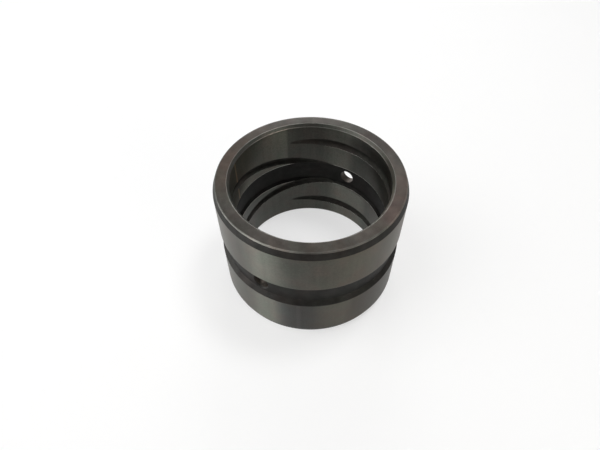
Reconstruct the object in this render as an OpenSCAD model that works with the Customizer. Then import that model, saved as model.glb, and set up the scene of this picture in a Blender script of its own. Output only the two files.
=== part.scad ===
// Grooved pin bushing: a steel sleeve that is pressed into a boss and carries a pin on a film of grease.
// Grease comes in round the outer groove, passes the wall through the oil holes into the ring groove
// of the bore, and is spread over the bore by two spiral grooves, one towards each end.
// Sizes in millimetres, angles in degrees from +X towards +Y. The sleeve stands on one end, on Z.

/* [Sleeve] */
// Ground bore, a running fit on the pin
bore_d = 71; // [50:0.5:110]
// Wall between the bore and the ground outside, which is a press fit in the boss
wall = 7.5; // [6.5:0.25:12.5]
// From end face to end face
length = 62; // [54:1:90]

/* [Ends] */
// Length of the slow taper at each end, which leads the sleeve into the boss
lead_h = 3.5; // [2:0.1:6]
// How far that taper goes in
lead_depth = 1.1; // [0.5:0.1:2]
// Broken edge between the taper and the end face
lead_break = 0.4; // [0.2:0.1:0.8]
// Radial width of the chamfer at each mouth of the bore, which leads the pin in
bore_chamfer_w = 1.2; // [0.4:0.1:1.6]
// Depth of that chamfer along the bore
bore_chamfer_h = 1.5; // [0.4:0.1:1.6]
// Broken edge on the lips of the turned grooves
lip_break = 0.25; // [0.1:0.05:0.4]

/* [Outer groove] */
// Width at the mouth, over its sloping flanks
outer_groove_w = 13; // [11:0.5:18]
// Depth below the ground outside
outer_groove_depth = 1.9; // [1:0.1:2.5]
// Radius between flank and floor
outer_groove_fillet = 0.8; // [0.4:0.1:1.2]

/* [Ring groove] */
// Width at the mouth in the bore
ring_groove_w = 13; // [11:0.5:18]
// Depth into the wall
ring_groove_depth = 1.3; // [1.3:0.1:2]
// Radius between flank and floor
ring_groove_fillet = 0.8; // [0.4:0.1:1.2]

/* [Spiral grooves] */
// Width at the bore of the round-bottomed groove
spiral_w = 4; // [3:0.1:5]
// Depth into the wall
spiral_depth = 1.2; // [0.8:0.1:1.2]
// Angle at which both spirals leave the middle of the ring groove
spiral_start = 64; // [0:1:359]
// Turn over which they climb
spiral_turn = 174; // [140:1:240]
// Turn of the whole groove, climb and level run
spiral_sweep = 436; // [300:1:480]
// Last part of the level run, over which the groove narrows to a point
spiral_runout = 30; // [12:1:40]
// Distance of the level run from the nearer end face
spiral_margin = 10.5; // [8:0.5:14]

/* [Oil holes] */
// Bore of the holes through the wall
oil_hole_d = 7.2; // [4:0.1:8]
// Broken edge of the holes in the floor of the outer groove
oil_hole_break = 0.6; // [0.3:0.1:0.8]
// How many, spaced evenly round the wall
oil_hole_count = 2; // [1:1:6]
// Angle of the first
oil_hole_angle = 90; // [0:1:359]

/* [Hidden] */
$fn = 144;
bore_r = bore_d / 2;
outer_r = bore_r + wall;
mid = length / 2;
// Length of the arc that eases the climb into the level run
ease = 16;
// The cutter that mills the spirals: its round nose, and how far it stands clear at the end of its run
nose_r = (pow(spiral_w / 2, 2) + pow(spiral_depth, 2)) / (2 * spiral_depth);
clear = 0.06;
// Steps along the spiral and round the nose
steps = ceil(spiral_sweep / 5);
arcs = 8;

function unit(v) = v / norm(v);
function turned(v, a) = [v.x * cos(a) - v.y * sin(a), v.x * sin(a) + v.y * cos(a)];

// Points of the arc of radius r that rounds the corner b between a and c.
function rounded(a, b, c, r, n = 4) =
    let (
        u = unit(a - b),
        v = unit(c - b),
        half = acos(u * v) / 2,
        centre = b + unit(u + v) * r / sin(half),
        first = b + u * r / tan(half) - centre,
        last = b + v * r / tan(half) - centre,
        sweep = sign(cross(first, last)) * (180 - 2 * half)
    )
    [for (i = [0:n]) centre + turned(first, sweep * i / n)];

// A turned groove with 45 degree flanks, from one lip to the other: side is -1 in the outside, 1 in the bore,
// way is 1 where the outline runs upwards and -1 where it runs down.
function groove(r, w, depth, fillet, side, way) =
    let (
        lip = [r, mid - way * w / 2],
        foot = [r + side * depth, lip.y + way * depth],
        foot2 = [foot.x, mid + way * (w / 2 - depth)],
        lip2 = [r, mid + way * w / 2]
    )
    concat(
        [lip - [0, way * lip_break], lip + [side, way] * lip_break / 2],
        rounded(lip, foot, foot2, fillet),
        rounded(foot, foot2, lip2, fillet),
        [lip2 + [side, -way] * lip_break / 2, lip2 + [0, way * lip_break]]
    );

// Half section of the sleeve, radius across and height up.
section = concat(
    [
        [bore_r + bore_chamfer_w, 0],
        [outer_r - lead_depth - lead_break, 0],
        [outer_r - lead_depth, lead_break],
        [outer_r, lead_h]
    ],
    groove(outer_r, outer_groove_w, outer_groove_depth, outer_groove_fillet, -1, 1),
    [
        [outer_r, length - lead_h],
        [outer_r - lead_depth, length - lead_break],
        [outer_r - lead_depth - lead_break, length],
        [bore_r + bore_chamfer_w, length],
        [bore_r, length - bore_chamfer_h]
    ],
    groove(bore_r, ring_groove_w, ring_groove_depth, ring_groove_fillet, 1, -1),
    [[bore_r, bore_chamfer_h]]
);

// Height above the middle of the sleeve, a degrees after the start of the spiral.
function rise(a) =
    let (
        t = a / spiral_turn,
        b = ease / spiral_turn,
        eased = t - pow(t - 1 + b, 2) / (4 * b)
    )
    (mid - spiral_margin) * (t < 1 - b ? t : t > 1 + b ? 1 : eased);

// Depth into the wall at the same place: full, then ever shallower over the run-out.
function depth(a) =
    let (t = max(0, 1 - (spiral_sweep - a) / spiral_runout))
    (spiral_depth + clear) * (1 - t) - clear;

// One station of the milling cutter's path: half of its round nose, in the radial plane.
function station(a) =
    let (r = bore_r + depth(a) - nose_r)
    [
        for (j = [0:arcs])
        let (
            nose = j * 180 / arcs - 90,
            reach = r + nose_r * cos(nose),
            angle = spiral_start + a
        )
        [reach * cos(angle), reach * sin(angle), rise(a) + nose_r * sin(nose)]
    ];

// What the cutter takes away from start to run-out.
module spiral_cut() {
    n = arcs + 1;
    path = [for (i = [0:steps]) each station(i * spiral_sweep / steps)];
    skin = [
        for (i = [0:steps - 1], j = [0:arcs])
        let (
            k = (j + 1) % n,
            p = i * n
        )
        each [[p + j, p + k, p + n + k], [p + j, p + n + k, p + n + j]]
    ];
    first = [for (j = [arcs:-1:0]) j];
    last = [for (j = [0:arcs]) steps * n + j];
    polyhedron(points = path, faces = concat(skin, [first, last]), convexity = 6);
}

module oil_holes() {
    brk = oil_hole_break;
    for (i = [0:oil_hole_count - 1])
        rotate([0, 0, oil_hole_angle + i * 360 / oil_hole_count])
            translate([0, 0, mid])
                rotate([0, 90, 0]) {
                    translate([0, 0, bore_r - 1])
                        cylinder(d = oil_hole_d, h = wall + 2, $fn = 48);
                    translate([0, 0, outer_r - outer_groove_depth - brk])
                        cylinder(d1 = oil_hole_d, d2 = oil_hole_d + 4 * brk, h = 2 * brk, $fn = 48);
                }
}

// The sleeve, turned in one piece, with its holes drilled and its spirals milled.
module bushing() {
    color("DimGray")
        difference() {
            rotate_extrude()
                polygon(section);
            oil_holes();
            translate([0, 0, mid]) {
                spiral_cut();
                mirror([0, 0, 1])
                    spiral_cut();
            }
        }
}

bushing();
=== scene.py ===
import math
import bpy
from mathutils import Matrix, Vector


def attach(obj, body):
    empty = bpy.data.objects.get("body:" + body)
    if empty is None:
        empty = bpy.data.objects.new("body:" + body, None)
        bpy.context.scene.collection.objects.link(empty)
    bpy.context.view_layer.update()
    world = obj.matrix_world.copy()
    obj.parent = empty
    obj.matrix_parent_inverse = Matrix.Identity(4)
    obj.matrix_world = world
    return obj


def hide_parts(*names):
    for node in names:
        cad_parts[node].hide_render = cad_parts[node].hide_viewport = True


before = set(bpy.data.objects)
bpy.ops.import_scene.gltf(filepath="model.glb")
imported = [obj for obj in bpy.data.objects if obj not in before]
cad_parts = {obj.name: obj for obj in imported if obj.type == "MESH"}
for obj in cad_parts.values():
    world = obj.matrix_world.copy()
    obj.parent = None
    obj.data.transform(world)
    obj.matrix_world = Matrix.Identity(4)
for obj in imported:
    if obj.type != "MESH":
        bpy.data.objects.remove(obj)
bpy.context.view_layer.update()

# The viewpoint: a hand-held phone a good 20 cm from the bushing, looking down at it from about 50 degrees.
# The angles and the lens are those that put both rims of the sleeve where the photograph has them.
MM = 0.001
turn_of_view = math.radians(31.3)
height_of_view = math.radians(50.19)
aim_height = 28.43
distance = 224.9
swing, roll = 0.0220, 0.0128
aim = Vector((0, 0, aim_height * MM))
away = Vector((math.sin(turn_of_view), -math.cos(turn_of_view), math.tan(height_of_view))).normalized()
eye = aim + away * distance * MM
look = (aim - eye).to_track_quat("-Z", "Y").to_matrix().to_4x4()
lens = bpy.data.cameras.new("phone")
lens.sensor_width = 36
lens.lens = 27.45
lens.clip_start = 0.01
camera = bpy.data.objects.new("phone", lens)
camera.matrix_world = (
    Matrix.Translation(eye) @ look @ Matrix.Rotation(swing, 4, "Y") @ Matrix.Rotation(roll, 4, "Z")
)
bpy.context.scene.collection.objects.link(camera)
bpy.context.scene.camera = camera
bpy.context.scene.view_settings.view_transform = "Standard"

# The sleeve: one turned piece of hardened steel, pressed into a boss and running on a pin in its bore.
# Its half section goes round the axis, holes are drilled through the wall, and a round-nosed cutter
# mills two spirals in the bore, from the ring groove in the middle to a level run near each end.
bore_r = 35.5
wall = 7.5
outer_r = bore_r + wall
length = 62.0
mid = length / 2
lead_h = 3.5
lead_depth = 1.1
lead_break = 0.4
mouth_w = 1.2
mouth_h = 1.5
groove_w = 13.0
outer_groove_depth = 1.9
ring_groove_depth = 1.3
lip = 0.25
hole_break = 0.6


# Finishes: the quench left a dark skin, and the two fits, outside and bore, were ground bright after it.
class Value:
    """A socket of a node tree that takes arithmetic, for materials and for geometry alike."""

    def __init__(self, tree, socket=None):
        self.tree = tree
        self.socket = socket

    def add(self, kind, settings=None, sockets=None, out=0):
        """A new node: its settings, then the values or links of its sockets. Gives back one output."""
        node = self.tree.nodes.new(kind)
        for name, value in (settings or {}).items():
            if name == "stops":
                ramp = node.color_ramp
                while len(ramp.elements) < len(value):
                    ramp.elements.new(1)
                for element, (place, colour) in zip(ramp.elements, value):
                    element.position = place
                    element.color = (*colour, 1)
            else:
                setattr(node, name, value)
        for name, value in (sockets or {}).items():
            if isinstance(value, Value):
                self.tree.links.new(value.socket, node.inputs[name])
            else:
                node.inputs[name].default_value = value
        return Value(self.tree, node.outputs[out]) if node.outputs else None

    def other(self, out):
        """Another output of the node that made this value."""
        return Value(self.tree, self.socket.node.outputs[out])

    def math(self, operation, *terms):
        sockets = {i: term for i, term in enumerate((self, *terms))}
        return self.add("ShaderNodeMath", {"operation": operation}, sockets)

    def __add__(self, term):
        return self.math("ADD", term)

    def __radd__(self, term):
        return self.math("ADD", term)

    def __sub__(self, term):
        return self.math("SUBTRACT", term)

    def __rsub__(self, term):
        return (self * -1).math("ADD", term)

    def __mul__(self, term):
        return self.math("MULTIPLY", term)

    def __rmul__(self, term):
        return self.math("MULTIPLY", term)

    def __truediv__(self, term):
        return self.math("DIVIDE", term)

    def __gt__(self, term):
        return self.math("GREATER_THAN", term)

    def __lt__(self, term):
        return self.math("LESS_THAN", term)

    def soft(self, low, high):
        """0 below low, 1 above high, and a smooth step between them."""
        return self.add(
            "ShaderNodeMapRange",
            {"interpolation_type": "SMOOTHSTEP"},
            {"Value": self, "From Min": low, "From Max": high},
        )


class Finish(Value):
    """A steel finish, with the place on the sleeve in millimetres as its coordinates."""

    def __init__(self, name):
        self.material = bpy.data.materials.new(name)
        self.material.use_nodes = True
        super().__init__(self.material.node_tree)
        self.tree.nodes.clear()
        spot = self.add("ShaderNodeTexCoord", out="Object")
        self.place = self.add("ShaderNodeVectorMath", {"operation": "SCALE"}, {0: spot, "Scale": 1 / MM})
        split = self.add("ShaderNodeSeparateXYZ", None, {0: self.place})
        self.x, self.y, self.z = split, split.other("Y"), split.other("Z")
        self.r = (self.x * self.x + self.y * self.y).math("SQRT")

    def around(self, r_scale, turn_scale, z_scale):
        """Coordinates that follow the turning, with a scale each for radius, way round and height."""
        return self.add(
            "ShaderNodeCombineXYZ",
            None,
            {
                "X": self.x / self.r * turn_scale,
                "Y": self.y / self.r * turn_scale,
                "Z": self.r * r_scale + self.z * z_scale,
            },
        )

    def noise(self, vector, scale, detail=3.0, rough=0.55):
        return self.add(
            "ShaderNodeTexNoise",
            None,
            {"Vector": vector, "Scale": scale, "Detail": detail, "Roughness": rough},
        )

    def ramp(self, factor, *stops):
        return self.add("ShaderNodeValToRGB", {"stops": stops}, {"Fac": factor})

    def sector(self, start, full, fading, end):
        """1 between two angles in degrees from +X, with a soft start and end."""
        middle = (full + fading) / 2
        a = math.radians(middle)
        along = self.x * math.cos(a) + self.y * math.sin(a)
        across = self.y * math.cos(a) - self.x * math.sin(a)
        off = across.math("ARCTAN2", along) * math.degrees(1)
        return off.soft(start - middle, full - middle) * (1 - off.soft(fading - middle, end - middle))

    def tinted(self, colour, tint, share=1.0):
        """A colour times a tint. A Mix node's colours are its sockets 6 and 7, and its output 2."""
        return self.add(
            "ShaderNodeMix",
            {"data_type": "RGBA", "blend_type": "MULTIPLY"},
            {"Factor": share, 6: colour, 7: tint},
            out=2,
        )

    def paint_light_bands(self, tone, bands):
        """Bands along the axis painted brighter or darker as light, shade and reflection: angles, heights
        and tint of each.
        """
        for angles, (low, high), tint in bands:
            band = self.sector(*angles) * (self.z > low) * (self.z < high)
            tone = self.tinted(tone, (*tint, 1), band)
        return tone

    def bump(self, height, strength, distance):
        return self.add(
            "ShaderNodeBump", None, {"Height": height, "Strength": strength, "Distance": distance * MM}
        )

    def metal(self, colour, roughness, normal, metallic, gloss=0.5, grain=0.0):
        """The steel itself; a grain that runs round the sleeve draws its gloss out along the axis."""
        shader = self.add(
            "ShaderNodeBsdfPrincipled",
            None,
            {
                "Base Color": colour,
                "Roughness": roughness,
                "Normal": normal,
                "Metallic": metallic,
                "Specular IOR Level": gloss,
                "Anisotropic": grain,
                "Anisotropic Rotation": 0.25,
            },
        )
        self.add("ShaderNodeOutputMaterial", None, {"Surface": shader})
        return self.material


def ground(name, dark, light, rough, bands):
    """A ground land: fine scratches round the sleeve, streaks along it, clouds of brown and green tint."""
    steel = Finish(name)
    lines = steel.noise(steel.around(r_scale=0, turn_scale=3, z_scale=9), scale=1, detail=4)
    clouds = steel.noise(steel.place, scale=0.06, detail=4)
    streaks = steel.noise(
        steel.around(r_scale=0, turn_scale=11, z_scale=0.012), scale=1, detail=5, rough=0.7
    )
    grain = steel.noise(steel.place, scale=1.1, detail=4, rough=0.75)
    depth = lines * 0.2 + clouds * 0.3 + streaks * 0.25 + grain * 0.45 - 0.1
    tone = steel.ramp(depth, (0.36, dark), (0.64, light))
    hue = steel.noise(steel.place, scale=0.11, detail=3)
    brown, plain, green = (1.06, 0.98, 0.93), (1.0, 1.0, 0.95), (0.94, 1.0, 0.93)
    tone = steel.tinted(tone, steel.ramp(hue, (0.36, brown), (0.5, plain), (0.64, green)))
    # The side towards +X is tinted warm: painted warm light on the right side.
    warm_light_tint = (1.08, 0.99, 0.87, 1)
    tone = steel.tinted(tone, warm_light_tint, steel.x.soft(12, 42))
    tone = steel.paint_light_bands(tone, bands)
    roughness = rough + lines * 0.1 + grain * 0.08
    scratches = steel.bump(lines, strength=0.12, distance=0.02)
    return steel.metal(tone, roughness, scratches, metallic=0.85, grain=0.75)


def skinned(name, dark, light, rough, metallic=0.85, gloss=0.5, bands=()):
    """A turned face that kept its dark skin: faint tool marks, blotches of brown and green, coarse grain."""
    steel = Finish(name)
    marks = steel.noise(steel.around(r_scale=7, turn_scale=0.6, z_scale=7), scale=1, detail=2)
    blotch = steel.noise(steel.place, scale=0.22, detail=5, rough=0.6)
    grain = steel.noise(steel.place, scale=2.6, detail=3)
    tone = steel.ramp(blotch * 0.7 + grain * 0.3, (0.35, dark), (0.68, light))
    hue = steel.noise(steel.place, scale=0.09, detail=4)
    brown, plain, green = (1.06, 0.98, 0.94), (1.0, 0.99, 0.97), (0.96, 1.01, 0.95)
    tone = steel.tinted(tone, steel.ramp(hue, (0.38, brown), (0.5, plain), (0.62, green)))
    tone = steel.paint_light_bands(tone, bands)
    roughness = rough + grain * 0.16
    surface = steel.bump(marks * 0.6 + grain * 0.4, strength=0.2, distance=0.03)
    return steel.metal(tone, roughness, surface, metallic, gloss)


all_over = (0, length + 0.1)
lower_land = (0, 27)
lower_bore, upper_bore = (0, 24), (24, 60.3)
outside_finish = ground(
    "ground_outside",
    dark=(0.047, 0.0458, 0.0412),
    light=(0.081, 0.0785, 0.0708),
    rough=0.28,
    # These bands are painted light, shade and reflection: a bright band down the front left, and darker
    # bands with a thin light line on the lower land at the front and front right.
    bands=[
        ((-102, -86, -82, -66), all_over, (2.12, 2.2, 2.17)),
        ((-82, -73, -60, -47), lower_land, (0.6, 0.62, 0.68)),
        ((-67, -65.6, -64.8, -63), lower_land, (1.3, 1.3, 1.32)),
        ((-40, -26, 4, 16), lower_land, (0.55, 0.54, 0.54)),
    ],
)
# The bore's bands are painted light and reflection on its back wall, right and left; the last and narrowest
# is a thin bright streak.
bore_finish = ground(
    "ground_bore",
    dark=(0.045, 0.045, 0.041),
    light=(0.080, 0.0795, 0.073),
    rough=0.26,
    bands=[
        ((62, 76, 94, 108), lower_bore, (1.85, 1.85, 1.82)),
        ((82, 92, 98, 114), upper_bore, (1.75, 1.73, 1.7)),
        ((139.5, 142, 205, 225), upper_bore, (1.65, 1.65, 1.6)),
        ((168, 186, 205, 225), upper_bore, (1.3, 1.26, 1.22)),
        ((195.8, 196.6, 197.4, 198.4), upper_bore, (3.0, 2.5, 2.2)),
    ],
)
face_finish = skinned(
    "turned_face",
    dark=(0.050, 0.0455, 0.0415),
    light=(0.087, 0.081, 0.074),
    rough=0.42,
    gloss=0.3,
    # These bands are painted light and shade by side, with some hue: lighter and pinker at the right, warmer
    # at the left, darker at the front and back right.
    bands=[
        ((-35, 0, 25, 50), all_over, (1.15, 1.0, 0.99)),
        ((150, 185, 215, 240), all_over, (1.08, 0.95, 0.88)),
        ((-80, -62, -45, -25), all_over, (0.86, 0.88, 0.86)),
        ((45, 66, 80, 100), all_over, (0.7, 0.69, 0.7)),
    ],
)
groove_finish = skinned(
    "dark_groove",
    dark=(0.0148, 0.0141, 0.0136),
    light=(0.0287, 0.0279, 0.0267),
    rough=0.5,
    metallic=0.75,
    gloss=0.1,
)
milled_finish = skinned(
    "milled_groove",
    dark=(0.035, 0.0335, 0.0305),
    light=(0.062, 0.0595, 0.0545),
    rough=0.6,
    metallic=0.2,
    gloss=0.1,
)
hole_finish = skinned(
    "drilled_hole",
    dark=(0.046, 0.038, 0.034),
    light=(0.112, 0.095, 0.085),
    rough=0.45,
)
# The rim's edge break is painted lighter than the face: a painted highlight, with bands that brighten it
# more at the front left and at the right.
rim_highlight = skinned(
    "rim_painted_highlight",
    dark=(0.072, 0.07, 0.066),
    light=(0.129, 0.126, 0.119),
    rough=0.38,
    metallic=1.0,
    bands=[
        ((-104, -90, -70, -58), all_over, (1.6, 1.6, 1.56)),
        ((-20, -5, 30, 50), all_over, (1.6, 1.42, 1.34)),
    ],
)
# The mouth's edges are painted lighter than the bore: a painted highlight along the chamfer's edges.
mouth_highlight = skinned(
    "mouth_painted_highlight",
    dark=(0.12, 0.117, 0.11),
    light=(0.215, 0.21, 0.199),
    rough=0.32,
    metallic=1.0,
)
# The lips of the grooves and spirals are painted much lighter: a painted highlight along each lip.
lip_highlight = skinned(
    "lip_painted_highlight",
    dark=(0.24, 0.234, 0.22),
    light=(0.42, 0.41, 0.39),
    rough=0.36,
    metallic=1.0,
)

# Half section: the corners of the turned sleeve, each with the radius that rounds it.
rim_round = 0.6
lead_round = 1.2
mouth_round, bore_round = 0.4, 0.6
lip_round, foot_round = 0.12, 0.8
ARC_STEPS = 5
ROW = 1.5


def rounded(a, b, c, r, n):
    """Points of the arc of radius r that rounds the corner b between a and c."""
    a, b, c = Vector(a), Vector(b), Vector(c)
    u, v = (a - b).normalized(), (c - b).normalized()
    half = u.angle(v) / 2
    centre = b + (u + v).normalized() * r / math.sin(half)
    first = b + u * r / math.tan(half) - centre
    sweep = first.angle_signed(b + v * r / math.tan(half) - centre)
    return [centre + Matrix.Rotation(-sweep * i / n, 2) @ first for i in range(n + 1)]


def outline(corners):
    """The half section's points, with rows between them; a corner is radius, height and its round."""
    points = []
    for i, (r, z, fillet) in enumerate(corners):
        before, after = corners[i - 1], corners[(i + 1) % len(corners)]
        points += rounded(before[:2], (r, z), after[:2], fillet, ARC_STEPS)
    fine = []
    for a, b in zip(points, points[1:] + points[:1]):
        rows = max(1, round((b - a).length / ROW))
        fine += [a.lerp(b, i / rows) for i in range(rows)]
    return fine


def groove(r, depth, side, way):
    """Corners of a turned groove with sloping flanks; side leads into the steel, way along the outline."""
    half = groove_w / 2
    return [
        (r, mid - way * (half + lip), lip_round),
        (r + side * lip / 2, mid - way * (half - lip / 2), lip_round),
        (r + side * depth, mid - way * (half - depth), foot_round),
        (r + side * depth, mid + way * (half - depth), foot_round),
        (r + side * lip / 2, mid + way * (half - lip / 2), lip_round),
        (r, mid + way * (half + lip), lip_round),
    ]


section = outline(
    [
        (bore_r + mouth_w, 0, mouth_round),
        (outer_r - lead_depth - lead_break, 0, rim_round),
        (outer_r - lead_depth, lead_break, rim_round),
        (outer_r, lead_h, lead_round),
        *groove(outer_r, outer_groove_depth, side=-1, way=1),
        (outer_r, length - lead_h, lead_round),
        (outer_r - lead_depth, length - lead_break, rim_round),
        (outer_r - lead_depth - lead_break, length, rim_round),
        (bore_r + mouth_w, length, mouth_round),
        (bore_r, length - mouth_h, bore_round),
        *groove(bore_r, ring_groove_depth, side=1, way=-1),
        (bore_r, mouth_h, bore_round),
    ]
)
sketch = bpy.data.meshes.new("half_section")
sketch.from_pydata(
    [(p.x * MM, 0, p.y * MM) for p in section],
    [(i, (i + 1) % len(section)) for i in range(len(section))],
    [],
)
blank = bpy.data.objects.new("half_section", sketch)
bpy.context.scene.collection.objects.link(blank)

spiral_margin = 10.5
making = bpy.data.node_groups.new("sleeve", "GeometryNodeTree")
making.interface.new_socket("Half Section", in_out="INPUT", socket_type="NodeSocketGeometry")
sizes = {
    "Bore Radius": bore_r * MM,
    "Middle": mid * MM,
    "Groove Rise": (mid - spiral_margin) * MM,
    "Groove Depth": 1.2 * MM,
    "Nose Radius": 2.267 * MM,
    "Start": math.radians(64),
    "Climb": math.radians(174),
    "Sweep": math.radians(436),
    "Ease": math.radians(16),
    "Run-out": math.radians(30),
    "Hole Radius": 3.6 * MM,
    "Hole Break": hole_break * MM,
}
for name in sizes:
    making.interface.new_socket(name, in_out="INPUT", socket_type="NodeSocketFloat")
making.interface.new_socket("Sleeve", in_out="OUTPUT", socket_type="NodeSocketGeometry")
given = Value(making).add("NodeGroupInput")
size = {name: given.other(name) for name in sizes}

# Turning: every point of the half section goes round the axis.
ROUND = 360
MERGE = 1e-6
count = len(section)
sheet = given.add(
    "GeometryNodeMeshGrid",
    None,
    {"Size X": 1, "Size Y": 1, "Vertices X": count + 1, "Vertices Y": ROUND + 1},
)
index = given.add("GeometryNodeInputIndex")
row = (index / (ROUND + 1)).math("FLOOR")
turn = (index - row * (ROUND + 1)) * (2 * math.pi / ROUND)
spot = given.add("GeometryNodeInputPosition")
corner = given.add(
    "GeometryNodeSampleIndex",
    {"data_type": "FLOAT_VECTOR"},
    {"Geometry": given, "Value": spot, "Index": row.math("FLOORED_MODULO", count)},
)
corner = given.add("ShaderNodeSeparateXYZ", None, {0: corner})
reach, up = corner, corner.other("Z")
place = given.add(
    "ShaderNodeCombineXYZ",
    None,
    {"X": reach * turn.math("COSINE"), "Y": reach * turn.math("SINE"), "Z": up},
)
turned = given.add("GeometryNodeSetPosition", None, {"Geometry": sheet, "Position": place})
turned = given.add("GeometryNodeMergeByDistance", None, {"Geometry": turned, "Distance": MERGE})
turned = given.add("GeometryNodeFlipFaces", None, {"Mesh": turned})
turned = given.add("GeometryNodeSetMaterial", None, {"Geometry": turned, "Material": groove_finish})

# Each face keeps the number of the tool that made it, and 0 is the lathe's. The mean of two numbers
# is odd where the edge between their faces stays crisp, and even where it is smoothed over.
MILLED, COUNTERSUNK, DRILLED, LIP = 2, 4, 6, 10


# Drilling: a straight drill at each side of the wall, and a countersink that breaks its hole's edge.
def on_both_sides(tool, reach, number):
    """Two of a tool, pointing outwards on the Y axis at mid height, their zero point at a given radius."""
    sides = given.add(
        "GeometryNodeMeshLine",
        {"mode": "OFFSET"},
        {"Count": 2, "Start Location": (0, reach * MM, mid * MM), "Offset": (0, -2 * reach * MM, 0)},
    )
    spin = given.add("ShaderNodeCombineXYZ", None, {"Z": index * math.pi + math.pi / 2})
    tool = given.add("GeometryNodeTransform", None, {"Geometry": tool, "Rotation": (0, math.pi / 2, 0)})
    tool = given.add(
        "GeometryNodeInstanceOnPoints", None, {"Points": sides, "Instance": tool, "Rotation": spin}
    )
    tool = given.add("GeometryNodeRealizeInstances", None, {"Geometry": tool})
    return given.add(
        "GeometryNodeStoreNamedAttribute",
        {"data_type": "FLOAT", "domain": "FACE"},
        {"Geometry": tool, "Name": "tool", "Value": number},
    )


HOLE_SIDES = 64
drill_length = wall + 4
drill = given.add(
    "GeometryNodeMeshCylinder",
    None,
    {"Vertices": HOLE_SIDES, "Radius": size["Hole Radius"], "Depth": drill_length * MM},
)
countersink = given.add(
    "GeometryNodeMeshCone",
    None,
    {
        "Vertices": HOLE_SIDES,
        "Radius Bottom": size["Hole Radius"],
        "Radius Top": size["Hole Radius"] + size["Hole Break"] * 2,
        "Depth": size["Hole Break"] * 2,
    },
)
drill = on_both_sides(drill, bore_r + wall / 2, DRILLED)
countersink = on_both_sides(countersink, outer_r - outer_groove_depth - hole_break, COUNTERSUNK)

# Milling: a round bar bent along the cutter's path, with a slight flare where it breaks the lips.
PATH_STEPS = 217
NOSE_SIDES = 40
clear = 0.06 * MM
flare = 0.2
flare_start, lip_start, flare_end = math.radians(57), math.radians(60), math.radians(66)


def cutter(side):
    """What the cutter takes away above the middle, side 1, or below it, side -1."""
    bar = given.add(
        "GeometryNodeMeshCylinder",
        None,
        {"Vertices": NOSE_SIDES, "Side Segments": PATH_STEPS, "Radius": 1, "Depth": 1},
    )
    at = given.add("ShaderNodeSeparateXYZ", None, {0: spot})
    across, along = at, at.other("Y")
    gone = (at.other("Z") + 0.5) * size["Sweep"]
    t = gone / size["Climb"]
    b = size["Ease"] / size["Climb"]
    bend = (t - 1 + b).math("MAXIMUM", 0).math("MINIMUM", b * 2)
    rise = (t - bend * bend / (b * 4)).math("MINIMUM", 1) * size["Groove Rise"]
    left = ((gone - size["Sweep"]) / size["Run-out"] + 1).math("MAXIMUM", 0)
    depth = (size["Groove Depth"] + clear) * (1 - left) - clear
    slant = along.math("ABSOLUTE").math("ARCTAN2", across)
    bar = given.add(
        "GeometryNodeStoreNamedAttribute",
        {"data_type": "FLOAT", "domain": "FACE"},
        {"Geometry": bar, "Name": "tool", "Value": (slant > lip_start) * (LIP - MILLED) + MILLED},
    )
    nose = size["Nose Radius"] + slant.soft(flare_start, flare_end) * flare * MM
    reach = size["Bore Radius"] + depth - size["Nose Radius"] + across * nose
    turn = gone + size["Start"]
    path = given.add(
        "ShaderNodeCombineXYZ",
        None,
        {
            "X": reach * turn.math("COSINE"),
            "Y": reach * turn.math("SINE"),
            "Z": size["Middle"] + (rise + along * nose) * side,
        },
    )
    bar = given.add("GeometryNodeSetPosition", None, {"Geometry": bar, "Position": path})
    if side > 0:
        bar = given.add("GeometryNodeFlipFaces", None, {"Mesh": bar})
    return bar


def cut(blank, tool):
    """Takes a tool away from the blank."""
    tool = given.add("GeometryNodeSetMaterial", None, {"Geometry": tool, "Material": groove_finish})
    return given.add(
        "GeometryNodeMeshBoolean",
        {"operation": "DIFFERENCE", "solver": "MANIFOLD"},
        {"Mesh 1": blank, "Mesh 2": tool},
    )


milled = turned
for tool in (drill, countersink, cutter(1), cutter(-1)):
    milled = cut(milled, tool)

# Finishing: the ground lands, the edges painted lighter as painted highlights, and the dark rest, told apart
# by radius and height.
crease = math.radians(24)
milled = given.add("GeometryNodeRealizeInstances", None, {"Geometry": milled})
tool = given.add("GeometryNodeInputNamedAttribute", {"data_type": "FLOAT"}, {"Name": "tool"})
bent = given.add("GeometryNodeInputMeshEdgeAngle") > crease
crisp = tool.math("FLOORED_MODULO", 2) > 0.5
milled = given.add("GeometryNodeSetShadeSmooth", {"domain": "FACE"}, {"Geometry": milled})
milled = given.add(
    "GeometryNodeSetShadeSmooth",
    {"domain": "EDGE"},
    {"Geometry": milled, "Selection": bent + crisp, "Shade Smooth": False},
)
at = given.add("ShaderNodeSeparateXYZ", None, {0: spot})
radius = (at * at + at.other("Y") * at.other("Y")).math("SQRT") * (1 / MM)
height = at.other("Z") * (1 / MM)
off_middle = (height - mid).math("ABSOLUTE")
normal = given.add("GeometryNodeInputNormal")
upright = given.add("ShaderNodeSeparateXYZ", None, {0: normal}).other("Z").math("ABSOLUTE")
square = 0.98
land_outside = outer_r - 0.02
land_in_bore = bore_r + 0.012
edge_in_bore = bore_r + 0.16
mouth_start, mouth_end = bore_r + 1.02, bore_r + 1.4
mouth_foot = mid - 1.9
rim_start, rim_foot = outer_r - 1.8, mid - 0.5
ring_reach = 8
uncut = tool < 1
on_outside = radius > land_outside
in_bore = (radius < land_in_bore) * uncut
on_end = upright > square
on_lip = (radius > land_in_bore) * (radius < edge_in_bore) * (off_middle < ring_reach) * uncut
on_rim = (radius > rim_start) * (off_middle > rim_foot) * (upright < square)
on_mouth = (radius < mouth_end) * (radius > land_in_bore) * (off_middle > mouth_foot) * uncut
inner_edge = on_mouth * (radius < edge_in_bore)
outer_edge = on_mouth * (radius > mouth_start) * (upright < square)
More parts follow.
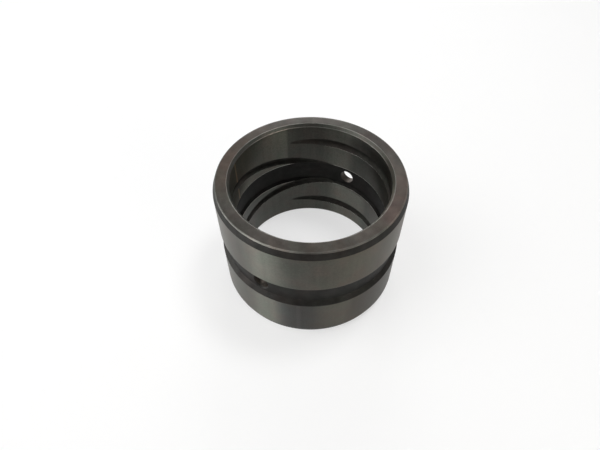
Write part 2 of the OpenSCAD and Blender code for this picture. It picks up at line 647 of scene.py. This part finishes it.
for material, chosen in (
    (bore_finish, on_mouth),
    (face_finish, on_end),
    (milled_finish, tool > MILLED - 1),
    (groove_finish, tool > COUNTERSUNK - 1),
    (hole_finish, tool > DRILLED - 1),
    (rim_highlight, on_rim),
    (mouth_highlight, inner_edge + outer_edge),
    (lip_highlight, on_lip + (tool > LIP - 1)),
    (bore_finish, in_bore),
    (outside_finish, on_outside),
):
    milled = given.add(
        "GeometryNodeSetMaterial", None, {"Geometry": milled, "Selection": chosen, "Material": material}
    )
given.add("NodeGroupOutput", None, {"Sleeve": milled})

maker = blank.modifiers.new("sleeve", "NODES")
maker.node_group = making
for item in making.interface.items_tree:
    if item.in_out == "INPUT" and item.name in sizes:
        maker[item.identifier] = sizes[item.name]
graph = bpy.context.evaluated_depsgraph_get()
mesh = bpy.data.meshes.new_from_object(blank.evaluated_get(graph))
mesh.name = "sleeve"
if mesh.materials[0] is None:
    mesh.materials.pop(index=0)
blank.modifiers.remove(maker)
bpy.data.objects.remove(blank)
sleeve = bpy.data.objects.new("sleeve", mesh)
bpy.context.scene.collection.objects.link(sleeve)
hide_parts("bushing")
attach(sleeve, "root")

# The setting: pale paper that lies flat under the sleeve and turns up into a backdrop all round it,
# lit by the soft boxes and strips of a small studio, brighter from the left than from the right.
# The paper that the camera and the steel see glows a little, so that it stays pale in the shade.
AROUND = 72
sweep = [(2.2, 0), (2.45, 0.04), (2.65, 0.15), (2.76, 0.35), (2.8, 0.6), (2.8, 2.2)]
floor_mesh = bpy.data.meshes.new("floor")
spots = [
    (r * math.cos(2 * math.pi * k / AROUND), r * math.sin(2 * math.pi * k / AROUND), z)
    for r, z in sweep
    for k in range(AROUND)
]
sheets = [tuple(range(AROUND))]
for ring in range(len(sweep) - 1):
    for k in range(AROUND):
        a, b = ring * AROUND + k, ring * AROUND + (k + 1) % AROUND
        sheets.append((a, a + AROUND, b + AROUND, b))
floor_mesh.from_pydata(spots, [], sheets)
floor_mesh.shade_smooth()
floor = bpy.data.objects.new("floor", floor_mesh)
bpy.context.scene.collection.objects.link(floor)
glow_share = 0.6
paper = bpy.data.materials.new("paper")
paper.use_nodes = True
tree = Value(paper.node_tree)
paper.node_tree.nodes.clear()
shade = tree.add("ShaderNodeBsdfDiffuse", None, {"Color": (0.92, 0.92, 0.92, 1)})
glow = tree.add("ShaderNodeEmission", None, {"Color": (1, 1, 1, 1), "Strength": 1.0})
ray = tree.add("ShaderNodeLightPath", out="Is Camera Ray")
seen = ray.math("MAXIMUM", ray.other("Is Glossy Ray")).math("MAXIMUM", ray.other("Is Transmission Ray"))
shade = tree.add("ShaderNodeMixShader", None, {0: seen * glow_share, 1: shade, 2: glow})
tree.add("ShaderNodeOutputMaterial", None, {"Surface": shade})
floor_mesh.materials.append(paper)

lamp_distance = 0.8


def lamp(name, turn, rise, size, watts, colour=(1, 1, 1)):
    """A soft box at a turn and rise in degrees from the camera's side, facing the sleeve."""
    light = bpy.data.lights.new(name, "AREA")
    light.shape = "RECTANGLE"
    light.size, light.size_y = size
    light.energy = watts
    light.color = colour
    holder = bpy.data.objects.new(name, light)
    a, e = turn_of_view + math.radians(turn), math.radians(rise)
    way = Vector((math.sin(a) * math.cos(e), -math.cos(a) * math.cos(e), math.sin(e)))
    holder.location = aim + way * lamp_distance
    holder.rotation_euler = (-way).to_track_quat("-Z", "Y").to_euler()
    bpy.context.scene.collection.objects.link(holder)


lamp("left_box", turn=-78, rise=56, size=(0.6, 0.6), watts=3.2)
lamp("top_box", turn=120, rise=72, size=(0.2, 0.2), watts=2.5)
lamp("back_box", turn=176, rise=38, size=(0.3, 0.3), watts=0.95)
lamp("left_strip", turn=-75, rise=3, size=(1.0, 0.1), watts=7.6)
lamp("right_strip", turn=48, rise=12, size=(0.45, 0.15), watts=2.2, colour=(1, 0.93, 0.82))
lamp("back_strip", turn=-172, rise=9, size=(0.7, 0.2), watts=2.5)
sky = bpy.data.worlds.new("studio")
sky.use_nodes = True
sky.node_tree.nodes["Background"].inputs["Color"].default_value = (1, 1, 1, 1)
sky.node_tree.nodes["Background"].inputs["Strength"].default_value = 0.05
bpy.context.scene.world = sky
